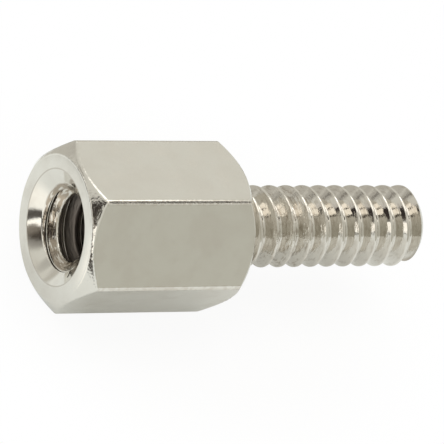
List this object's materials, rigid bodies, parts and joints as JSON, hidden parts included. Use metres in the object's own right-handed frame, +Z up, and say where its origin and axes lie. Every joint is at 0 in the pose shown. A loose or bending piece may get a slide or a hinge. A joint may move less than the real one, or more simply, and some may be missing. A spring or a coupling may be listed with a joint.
{
  "type": "hex standoff",
  "caption": "Hexagonal metal spacer with a threaded stud at one end and a countersunk tapped blind hole at the other.",
  "frame": {"origin": "on the axis at the shoulder that the stud stands out of", "axes": "+X along the axis towards the stud's tip, +Z up from the flat that the body lies on, +Y across two of its edges"},
  "size_m": [0.0134, 0.0058, 0.005],
  "materials": {
    "nickel_plated_brass": "bright nickel plate over turned brass"
  },
  "bodies": {
    "root": {"hex_standoff": "nickel_plated_brass"}
  },
  "joints": []
}
